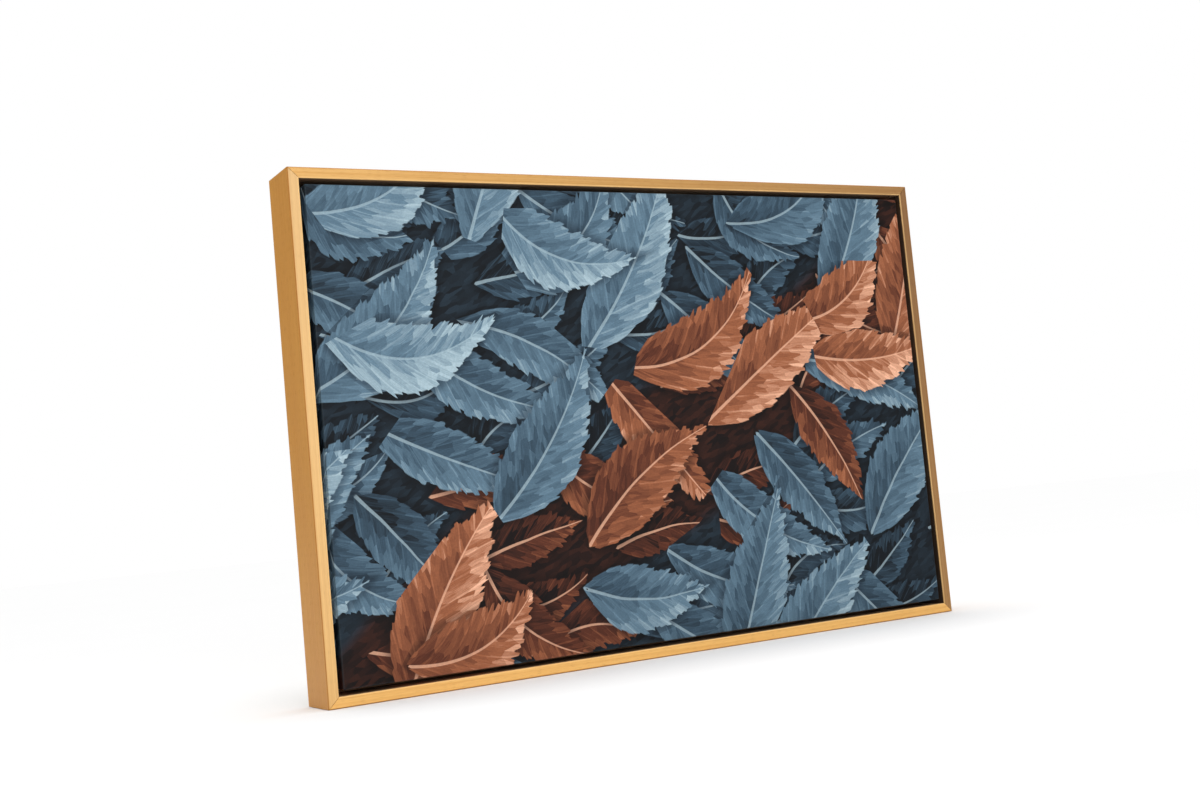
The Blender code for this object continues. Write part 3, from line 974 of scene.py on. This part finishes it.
def screw_tree(values):
    """Countersunk screws with a cross recess and a rolled thread, one at each point, tip towards -Y."""
    tree = PieceTree("countersunk_screws", values)
    head_radius, head_height = tree.sizes("Head Radius", "Head Height")
    shank, total, pitch = tree.sizes("Shank Radius", "Length", "Thread Pitch")
    slot_length, slot_width, slot_depth = tree.sizes("Recess Length", "Recess Width", "Recess Depth")
    tip = shank * 2.6
    root = shank * 0.86
    cone = {"Vertices": 40, "Radius Top": shank, "Radius Bottom": head_radius, "Depth": head_height}
    head = tree.node("GeometryNodeMeshCone", cone)
    cut = tree.node("GeometryNodeMeshBoolean", {"Mesh 1": head}, operation="DIFFERENCE")
    for long, narrow, deep in ((slot_length, slot_width, 2.0), (slot_width, slot_length, 1.9)):
        bar = tree.node("GeometryNodeMeshCube", {"Size": tree.vector(long, narrow, slot_depth * deep)})
        tree.feed(cut.inputs["Mesh 2"], bar)

    index = tree.index()
    start = head_height * 0.7
    height = start + (index > 0.5) * (total - tip - start) + (index > 1.5) * tip
    axis = tree.wire(3, tree.vector(0.0, 0.0, height))
    down_shank = tree.parts(tree.node("GeometryNodeInputPosition"))[2]
    narrowed = 1 - (down_shank > total - tip * 0.5) * 0.93
    axis = tree.node("GeometryNodeSetCurveRadius", {"Curve": axis, "Radius": narrowed})
    shaft = tree.sweep(axis, tree.ring(root, 20))

    run = (total - tip - head_height) * 0.8
    coil_radius = shank * 0.84
    coil = {
        "Resolution": 14,
        "Rotations": run / pitch,
        "Start Radius": coil_radius,
        "End Radius": coil_radius,
        "Height": run,
    }
    thread = tree.sweep(tree.node("GeometryNodeCurveSpiral", coil), tree.ring(shank * 0.22, 4))
    thread = tree.shift(thread, tree.vector(0.0, 0.0, total - tip - run))
    screw = tree.shift(tree.join(cut, shaft, thread), turn=(math.pi / 2, 0.0, 0.0))
    return tree.plant(tree.given["Geometry"], screw, tree.chance_turn((0.0, -0.7, 0.0), (0.0, 0.7, 0.0)))


def staple_tree(values):
    """Wire staples along the edges, crowns flat on the cloth and legs towards -Y."""
    tree = PieceTree("staple_row", values)
    spacing, crown, leg, wire = tree.sizes("Spacing", "Crown", "Leg", "Wire")
    index = tree.index()
    right = (index > 1.5) * 2 - 1
    down = abs(index - 1.5) > 1.0
    path = tree.wire(4, tree.vector(right * crown * 0.5, down * leg * -1.0))
    inputs = {"Curve": path, "Count": 3, "Radius": wire * 2.4}
    path = tree.node("GeometryNodeFilletCurve", inputs, mode="POLY")
    staple = tree.sweep(path, tree.strip(wire * 1.5, wire * 3.4))
    spots = tree.node("GeometryNodeCurveToPoints", {"Curve": tree.rows(), "Length": spacing}, mode="LENGTH")
    spread = tree.chance_turn((0.0, -0.16, 0.0), (0.0, 0.16, 0.0))
    return tree.plant(spots, staple, tree.turned_more(tree.facing(spots.outputs["Tangent"]), spread))


def corner_nail_tree(values):
    """V-shaped nails across the mitres, one at each point, its fold towards the outer corner."""
    tree = PieceTree("corner_nails", values)
    leg, sheet, depth, middle = tree.sizes("Leg", "Sheet", "Depth", "Middle Height")
    step = tree.index() - 2.0
    hook = abs(step) > 1.5
    reach = tree.math("MINIMUM", abs(step), 1.0)
    side = tree.math("SIGN", step)
    bent = tree.vector(reach * leg * -0.77 + hook * leg * 0.16, side * leg * (reach * 0.64 + hook * 0.22))
    nail = tree.sweep(tree.wire(5, bent), tree.strip(sheet, depth))
    nail = tree.shift(nail, turn=(math.pi / 2, 0.0, 0.0))
    nail = tree.shift(nail, tree.vector(0.0, depth * -0.5, 0.0))
    x, _, z = tree.parts(tree.node("GeometryNodeInputPosition"))
    outward = tree.vector(tree.math("SIGN", x), 0.0, tree.math("SIGN", z - middle))
    return tree.plant(tree.given["Geometry"], nail, tree.facing(outward))


# Canvas

LONG_STEPS = 60
SHORT_STEPS = 40
CORNER_STEPS = 5
PICTURE_INSETS = (0.120, 0.040, 0.008)
WALL_SHARES = (0.2, 0.5, 0.8)
TURNOVER_INSETS = (0.004, 0.010, 0.018, 0.026)
FLAP_REACH = 0.034
FOLD_LIFT = 0.00005


def outline(inset, cloth):
    """Points round the canvas at a distance in from its edge: x, z and the way out."""
    half_x, half_z = CANVAS_HALF_WIDTH - inset, CANVAS_HALF_HEIGHT - inset
    radius = max(cloth.corner_radius - inset, 0.0002 + 0.06 * inset)
    points = []
    for number, (sign_x, sign_z) in enumerate(CORNERS):
        start = math.pi + number * math.pi / 2
        for turn in quarter_turn(CORNER_STEPS):
            way = (math.cos(start + turn), math.sin(start + turn))
            x = sign_x * (half_x - radius) + radius * way[0]
            z = sign_z * (half_z - radius) + radius * way[1]
            points.append((x, z, way))
        next_x, next_z = CORNERS[(number + 1) % 4]
        goal_x = next_x * (half_x - radius) + radius * way[0]
        goal_z = next_z * (half_z - radius) + radius * way[1]
        steps = LONG_STEPS if number % 2 == 0 else SHORT_STEPS
        for step in range(1, steps):
            part = step / steps
            points.append((x + (goal_x - x) * part, z + (goal_z - z) * part, way))
    return points


def cloth_profile(cloth, skin):
    """Steps of the cloth from the picture's middle out, round the bars and back in: inset, depth and
    distance past the picture's edge. The inner layer is one skin inside the outer one, whose skin is 0."""
    front, rear = cloth.front_radius, cloth.back_radius
    back = CANVAS_DEPTH - cloth.fold_room
    steps = [(inset, skin, -inset) for inset in PICTURE_INSETS]
    for turn in quarter_turn(5):
        bend = front - skin
        steps.append((front - bend * math.sin(turn), front - bend * math.cos(turn), front * (turn - 1.0)))
    for part in WALL_SHARES:
        depth = front + (back - 2 * front) * part
        steps.append((skin, depth, depth))
    for turn in quarter_turn(4):
        bend = rear - skin
        depth = back - rear + bend * math.sin(turn)
        steps.append((rear - bend * math.cos(turn), depth, back - rear * (1.0 - turn)))
    steps += [(inset, back - skin, back + inset) for inset in (*TURNOVER_INSETS, cloth.turnover)]
    return steps


def wander(x, z):
    """How far the turnover's cut edge strays: it is pulled in at each staple and was cut by hand."""
    along = x if abs(z) / CANVAS_HALF_HEIGHT > abs(x) / CANVAS_HALF_WIDTH else z
    return 0.0004 * math.sin(along * 150.0) + 0.0003 * math.sin(along * 61.0 + 1.0)


def cloth_loop(shape, step, cloth, spots):
    """One closed loop of the cloth, with each vertex's place on the flat cloth kept in spots."""
    inset, depth, past = step
    loop = []
    for x, z, way in outline(inset, cloth):
        pull = 0.0 if inset < cloth.turnover else wander(x, z)
        place = (x - way[0] * pull, CANVAS_LOW.y + depth, MIDDLE_Z + z - way[1] * pull)
        vertex = shape.verts.new(place)
        spots[vertex] = (x + way[0] * (past + inset), z + way[1] * (past + inset))
        loop.append(vertex)
    return loop


def close_middle(shape, loop):
    """Fills the innermost loop with quads from its lower side to its upper side, and its two ends."""
    first = CORNER_STEPS
    second = first + LONG_STEPS + CORNER_STEPS + SHORT_STEPS + CORNER_STEPS
    lower = [loop[first + step] for step in range(LONG_STEPS + 1)]
    upper = [loop[second + LONG_STEPS - step] for step in range(LONG_STEPS + 1)]
    made = []
    for step in range(LONG_STEPS):
        made.append(shape.faces.new((lower[step], lower[step + 1], upper[step + 1], upper[step])))
    count = len(loop)
    right = loop[first + LONG_STEPS:second + 1]
    left = [loop[i % count] for i in range(second + LONG_STEPS, count + first + 1)]
    return made + [shape.faces.new(right), shape.faces.new(left)]


def add_slab(shape, spots, corners, thickness, way):
    """A closed, thin piece of folded cloth on flat corners, each a place and its spot on the flat cloth."""
    near = [shape.verts.new(place) for place, _ in corners]
    far = [shape.verts.new(Vector(place) + Vector(way) * thickness) for place, _ in corners]
    for vertex, (_, spot) in zip(near + far, corners + corners):
        spots[vertex] = spot
    shape.faces.new(near)
    shape.faces.new(far)
    bridge(shape, near, far)


def add_corner_folds(shape, spots, cloth):
    """The doubled cloth at each corner: a triangle on the wall above or below it, and a fold behind."""
    back = CANVAS_DEPTH - cloth.fold_room
    low_edge = back - 0.002
    end = cloth.turnover - 0.0006
    for side_x, side_z in CORNERS:
        x = side_x * CANVAS_HALF_WIDTH
        z = side_z * CANVAS_HALF_HEIGHT

        def wall(inset, depth):
            px = x - side_x * inset
            return (px, CANVAS_LOW.y + depth, MIDDLE_Z + z + side_z * FOLD_LIFT), (px, z + side_z * depth)

        def behind(inset_x, inset_z):
            px, pz = x - side_x * inset_x, z - side_z * inset_z
            return (px, CANVAS_LOW.y + back + FOLD_LIFT, MIDDLE_Z + pz), (px, z + side_z * (back + inset_z))

        flap = [wall(0.0022, 0.003), wall(0.0016, low_edge), wall(FLAP_REACH, low_edge)]
        add_slab(shape, spots, flap, cloth.thickness, (0, 0, side_z))
        fold = [behind(0.002, 0.0015), behind(end, end), behind(end + 0.013, end), behind(0.014, 0.0015)]
        add_slab(shape, spots, fold, cloth.thickness * 0.9, (0, 1, 0))


def canvas_mesh(cloth):
    """The printed cloth, stretched round the bars: two skins joined at the cut edge, and its folds."""
    shape = bmesh.new()
    spots = {}
    outer = [cloth_loop(shape, step, cloth, spots) for step in cloth_profile(cloth, 0.0)]
    inner = [cloth_loop(shape, step, cloth, spots) for step in cloth_profile(cloth, cloth.thickness)]
    close_middle(shape, outer[0])
    for first, second in zip(outer, outer[1:]):
        bridge(shape, first, second)
    raw = close_middle(shape, inner[0]) + bridge(shape, outer[-1], inner[-1])
    for first, second in zip(inner, inner[1:]):
        raw += bridge(shape, first, second)
    for face in raw:
        face.material_index = 1
    add_corner_folds(shape, spots, cloth)
    bmesh.ops.recalc_face_normals(shape, faces=shape.faces)
    layer = shape.loops.layers.uv.new("cloth")
    for face in shape.faces:
        for corner in face.loops:
            corner[layer].uv = spots[corner.vert]
    return mesh_of("printed_canvas", shape, 40.0)


# Operators

# The front light stands towards the picture's left end, and a wide soft sun keeps the floor evenly pale
KEY_PLACE = Vector((-0.25, -1.35, 0.52))
KEY_AIM = Vector((-0.10, 0.0, 0.20))
OVERHEAD_SPREAD = math.radians(60)
FLOOR_DROP = 0.0002
# How far in from the frame's corner the two nails of a mitre sit
CORNER_NAIL_INSETS = (0.0085, 0.0215)


class FRAMEDCANVAS_OT_stage(bpy.types.Operator):
    """Adds the pale floor, the soft lights and the camera"""

    bl_idname = "framed_canvas.stage"
    bl_label = "Stage"

    def execute(self, context):
        studio = context.scene.framed_canvas_studio
        shape = bmesh.new()
        bmesh.ops.create_circle(shape, cap_ends=True, segments=96, radius=studio.floor_radius)
        bmesh.ops.translate(shape, verts=shape.verts, vec=(0.0, 0.0, -FLOOR_DROP))
        link_mesh("studio_floor", mesh_of("studio_floor", shape), studio_floor(studio.floor))
        self.set_world(context.scene, studio)
        key, made = self.add_light("key", "AREA", studio.key_power)
        key.shape = "DISK"
        key.size = studio.key_size
        made.location = KEY_PLACE
        made.rotation_euler = (KEY_AIM - KEY_PLACE).to_track_quat("-Z", "Y").to_euler()
        overhead, _ = self.add_light("overhead", "SUN", studio.overhead)
        overhead.angle = OVERHEAD_SPREAD
        self.add_camera(context.scene, studio)
        return {"FINISHED"}

    def set_world(self, scene, studio):
        """A pale surround that shows lighter to the camera than it shines."""
        world = bpy.data.worlds.new("studio")
        world.use_nodes = True
        world.node_tree.nodes.clear()
        graph = Graph(world.node_tree)
        seen = graph.value(graph.node("ShaderNodeLightPath"), "Is Camera Ray")
        strength = seen + (1 - seen) * studio.surround
        shown = graph.node("ShaderNodeBackground", {"Color": (1.0, 1.0, 1.0), "Strength": strength})
        graph.node("ShaderNodeOutputWorld", {"Surface": shown})
        scene.world = world
        scene.view_settings.view_transform = "Standard"

    def add_light(self, name, kind, power):
        lamp = bpy.data.lights.new(name, kind)
        lamp.energy = power
        made = bpy.data.objects.new(name, lamp)
        bpy.context.scene.collection.objects.link(made)
        return lamp, made

    def add_camera(self, scene, studio):
        camera = bpy.data.cameras.new("camera")
        camera.sensor_width = 36.0
        camera.lens = studio.lens
        camera.shift_x, camera.shift_y = studio.lens_shift
        made = bpy.data.objects.new("camera", camera)
        level = math.pi / 2
        turn = (
            Matrix.Rotation(-studio.heading, 4, "Z")
            @ Matrix.Rotation(level + studio.pitch, 4, "X")
            @ Matrix.Rotation(-studio.roll, 4, "Z")
        )
        made.matrix_world = Matrix.Translation(studio.camera_place) @ turn
        scene.collection.objects.link(made)
        scene.camera = made


class FRAMEDCANVAS_OT_moulding(bpy.types.Operator):
    """Stains and lacquers the four rails of the floater frame"""

    bl_idname = "framed_canvas.moulding"
    bl_label = "Moulding"

    def execute(self, context):
        for side in SIDES:
            refinish(f"frame_rail_{side}", moulding_wood(side, context.scene.framed_canvas_wood))
        return {"FINISHED"}


class FRAMEDCANVAS_OT_stretcher(bpy.types.Operator):
    """Finishes the four pine stretcher bars"""

    bl_idname = "framed_canvas.stretcher"
    bl_label = "Stretcher bars"

    def execute(self, context):
        for side in SIDES:
            refinish(f"stretcher_bar_{side}", bar_pine(side, context.scene.framed_canvas_wood))
        return {"FINISHED"}


class FRAMEDCANVAS_OT_canvas(bpy.types.Operator):
    """Stretches the printed cloth over the bars, with folded corners, a turnover and loose threads"""

    bl_idname = "framed_canvas.canvas"
    bl_label = "Printed canvas"

    def execute(self, context):
        cloth = context.scene.framed_canvas_cloth
        print_finish = printed_cotton(cloth, context.scene.framed_canvas_print)
        made = link_mesh("printed_canvas", canvas_mesh(cloth), print_finish, raw_cotton(cloth))
        hold(made, "canvas", "canvas")
        self.fray(cloth)
        return {"FINISHED"}

    def fray(self, cloth):
        """Loose threads along the turnover's cut edge."""
        hidden = 0.0009
        clear = 0.022
        y = CANVAS_HIGH.y - cloth.fold_room - cloth.thickness / 2
        points, edges = side_rows(cloth.turnover - hidden, clear, y)
        values = {
            "Length": cloth.thread_length,
            "Radius": cloth.thread_radius,
            "Count": cloth.thread_count,
            "Seed": cloth.thread_seed,
            "Material": cotton_thread(cloth),
        }
        return hold(grow("loose_threads", points, edges, thread_tree, values, 60.0), "canvas")


class FRAMEDCANVAS_OT_staples(bpy.types.Operator):
    """Staples the turnover to the backs of the bars"""

    bl_idname = "framed_canvas.staples"
    bl_label = "Staples"

    def execute(self, context):
        cloth = context.scene.framed_canvas_cloth
        fixing = context.scene.framed_canvas_fixing
        from_cut = 0.007
        clear = 0.030
        y = CANVAS_HIGH.y - cloth.fold_room + 1.5 * fixing.staple_wire
        points, edges = side_rows(cloth.turnover - from_cut, clear, y)
        values = {
            "Spacing": fixing.staple_spacing,
            "Crown": fixing.staple_crown,
            "Leg": fixing.staple_leg,
            "Wire": fixing.staple_wire,
            "Seed": fixing.seed,
            "Material": zinc_steel("staple_wire", fixing.staple_steel),
        }
        hold(grow("staples", points, edges, staple_tree, values), "zinc_steel")
        return {"FINISHED"}


class FRAMEDCANVAS_OT_corner_nails(bpy.types.Operator):
    """Presses V-shaped nails into the mitres' backs"""

    bl_idname = "framed_canvas.corner_nails"
    bl_label = "Corner nails"

    def execute(self, context):
        fixing = context.scene.framed_canvas_fixing
        proud = 0.00008
        points = []
        for side_x, side_z in CORNERS:
            for inset in CORNER_NAIL_INSETS:
                x = side_x * (HALF_WIDTH - inset)
                points.append((x, BACK_Y + proud, MIDDLE_Z + side_z * (HALF_HEIGHT - inset)))
        values = {
            "Leg": fixing.nail_leg,
            "Sheet": fixing.nail_sheet,
            "Depth": fixing.nail_depth,
            "Middle Height": MIDDLE_Z,
            "Material": zinc_steel("corner_nail_steel", fixing.corner_steel),
        }
        hold(grow("corner_nails", points, [], corner_nail_tree, values), "zinc_steel")
        return {"FINISHED"}


class FRAMEDCANVAS_OT_screws(bpy.types.Operator):
    """Drives the countersunk screws through the ledge"""

    bl_idname = "framed_canvas.screws"
    bl_label = "Screws"

    def execute(self, context):
        fixing = context.scene.framed_canvas_fixing
        nodes = sorted(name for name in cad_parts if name.startswith("ledge_screw_"))
        low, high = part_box(nodes[0])
        points = [(x, high.y, z) for x, _, z in middles(nodes)]
        values = {
            "Head Radius": (high.x - low.x) / 2,
            "Head Height": fixing.head_height,
            "Shank Radius": fixing.shank_radius,
            "Length": high.y - low.y,
            "Recess Length": fixing.recess_length,
            "Recess Width": fixing.recess_width,
            "Recess Depth": fixing.recess_depth,
            "Thread Pitch": fixing.thread_pitch,
            "Seed": fixing.seed,
            "Material": zinc_steel("screw_steel", fixing.screw_steel),
        }
        hold(grow("ledge_screws", points, [], screw_tree, values), "zinc_steel", *nodes)
        return {"FINISHED"}


class FRAMEDCANVAS_OT_hanger(bpy.types.Operator):
    """Finishes the sawtooth hanger and adds its domed nails"""

    bl_idname = "framed_canvas.hanger"
    bl_label = "Hanger"

    def execute(self, context):
        fixing = context.scene.framed_canvas_fixing
        refinish("sawtooth_hanger", zinc_steel("hanger_steel", fixing.hanger_steel))
        nodes = ("hanger_nail_left", "hanger_nail_right")
        low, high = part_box(nodes[0])
        head = (high.x - low.x) / 2
        rise, shank, point, flat = 0.0007, 0.0007, 0.0016, 0.0001
        profile = [(flat, low.y), (shank, low.y + point), (shank, high.y - rise), (head, high.y - rise)]
        for turn in quarter_turn(6)[1:-1]:
            profile.append((head * math.cos(turn), high.y - rise + rise * math.sin(turn)))
        profile.append((flat, high.y))
        mesh = turned_mesh("hanger_nails", profile, middles(nodes), 24)
        made = link_mesh("hanger_nails", mesh, zinc_steel("nail_steel", fixing.nail_steel))
        hold(made, "zinc_steel", *nodes)
        return {"FINISHED"}


class FRAMEDCANVAS_OT_bumpers(bpy.types.Operator):
    """Adds the round rubber bumpers"""

    bl_idname = "framed_canvas.bumpers"
    bl_label = "Bumpers"

    def execute(self, context):
        nodes = ("bumper_left", "bumper_right")
        low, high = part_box(nodes[0])
        radius = (high.x - low.x) / 2
        edge, foot, dimple = 0.0012, 0.0003, 0.0002
        profile = [(radius * 0.97, low.y), (radius, low.y + foot), (radius * 0.985, high.y - edge)]
        for turn in quarter_turn(6)[1:]:
            profile.append((radius - edge + edge * math.cos(turn), high.y - edge + edge * math.sin(turn)))
        profile += [(radius * 0.35, high.y), (radius * 0.30, high.y - dimple), (0.0001, high.y - dimple)]
        finish = bumper_rubber(context.scene.framed_canvas_fixing)
        made = link_mesh("bumpers", turned_mesh("bumpers", profile, middles(nodes)), finish)
        hold(made, "rubber", *nodes)
        return {"FINISHED"}


class FRAMEDCANVAS_PT_panel(bpy.types.Panel):
    """Lists the pieces and their sizes"""

    bl_idname = "FRAMEDCANVAS_PT_panel"
    bl_label = "Framed canvas"
    bl_space_type = "VIEW_3D"
    bl_region_type = "UI"
    bl_category = "Framed canvas"

    def draw(self, context):
        for kind in OPERATORS:
            self.layout.operator(kind.bl_idname)
        for name, group in GROUPS.items():
            box = self.layout.box()
            box.label(text=group.__doc__)
            settings = getattr(context.scene, name)
            for field in group.__annotations__:
                box.prop(settings, field)


GROUPS = {
    "framed_canvas_wood": WoodSettings,
    "framed_canvas_cloth": ClothSettings,
    "framed_canvas_print": PrintSettings,
    "framed_canvas_fixing": FixingSettings,
    "framed_canvas_studio": StudioSettings,
}
OPERATORS = (
    FRAMEDCANVAS_OT_stage,
    FRAMEDCANVAS_OT_moulding,
    FRAMEDCANVAS_OT_stretcher,
    FRAMEDCANVAS_OT_canvas,
    FRAMEDCANVAS_OT_staples,
    FRAMEDCANVAS_OT_corner_nails,
    FRAMEDCANVAS_OT_screws,
    FRAMEDCANVAS_OT_hanger,
    FRAMEDCANVAS_OT_bumpers,
)
CLASSES = (*GROUPS.values(), *OPERATORS, FRAMEDCANVAS_PT_panel)


def register():
    for kind in CLASSES:
        bpy.utils.register_class(kind)
    for name, group in GROUPS.items():
        setattr(bpy.types.Scene, name, PointerProperty(type=group))


def unregister():
    for name in GROUPS:
        delattr(bpy.types.Scene, name)
    for kind in reversed(CLASSES):
        bpy.utils.unregister_class(kind)


def main():
    register()
    for kind in OPERATORS:
        module, name = kind.bl_idname.split(".")
        getattr(getattr(bpy.ops, module), name)()


if __name__ == "__main__":
    main()
